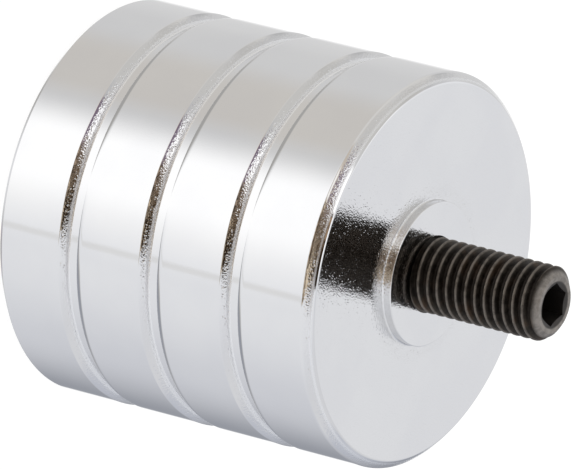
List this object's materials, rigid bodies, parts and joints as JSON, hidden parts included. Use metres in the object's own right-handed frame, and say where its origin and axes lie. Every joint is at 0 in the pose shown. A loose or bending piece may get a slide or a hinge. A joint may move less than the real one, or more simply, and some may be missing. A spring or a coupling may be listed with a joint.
{
  "type": "stage weight",
  "caption": "Stackable round stage weight: chromed steel discs screwed together, with a threaded mounting stud standing out of a raised boss on the front face.",
  "frame": {"origin": "centre of the flat rear face, on which the weight stands", "axes": "+Z along the common axis of the discs, out of the front face along the mounting stud"},
  "size_m": [0.063, 0.063, 0.0832],
  "materials": {
    "chromed_steel": "bright polished chrome plate on turned steel",
    "black_oxide_steel": "black oxide on alloy steel, satin, slightly brown"
  },
  "bodies": {
    "base": {"base_disc": "chromed_steel"},
    "lower_screw": {"lower_joining_screw": "black_oxide_steel"},
    "lower_middle": {"lower_middle_disc": "chromed_steel"},
    "middle_screw": {"middle_joining_screw": "black_oxide_steel"},
    "upper_middle": {"upper_middle_disc": "chromed_steel"},
    "upper_screw": {"upper_joining_screw": "black_oxide_steel"},
    "front": {"front_disc": "chromed_steel", "mounting_stud": "black_oxide_steel"}
  },
  "joints": [
    {"name": "lower_screw_travel", "type": "slide", "parent": "base", "child": "lower_screw", "axis": [0, 0, 1], "range_m": [0, 0.006]},
    {"name": "lower_disc_turn", "type": "hinge", "parent": "lower_screw", "child": "lower_middle", "pos_m": [0, 0, 0.0128], "axis": [0, 0, 1], "range_deg": [0, 1234]},
    {"name": "middle_screw_travel", "type": "slide", "parent": "lower_middle", "child": "middle_screw", "axis": [0, 0, 1], "range_m": [0, 0.006]},
    {"name": "middle_disc_turn", "type": "hinge", "parent": "middle_screw", "child": "upper_middle", "pos_m": [0, 0, 0.028], "axis": [0, 0, 1], "range_deg": [0, 1234]},
    {"name": "upper_screw_travel", "type": "slide", "parent": "upper_middle", "child": "upper_screw", "axis": [0, 0, 1], "range_m": [0, 0.006]},
    {"name": "front_disc_turn", "type": "hinge", "parent": "upper_screw", "child": "front", "pos_m": [0, 0, 0.0432], "axis": [0, 0, 1], "range_deg": [0, 1234]}
  ],
  "couplings": [
    {"joint": "lower_screw_travel", "follows": "lower_disc_turn", "m_per_rad": 0.00027852},
    {"joint": "middle_screw_travel", "follows": "middle_disc_turn", "m_per_rad": 0.00027852},
    {"joint": "upper_screw_travel", "follows": "front_disc_turn", "m_per_rad": 0.00027852}
  ]
}
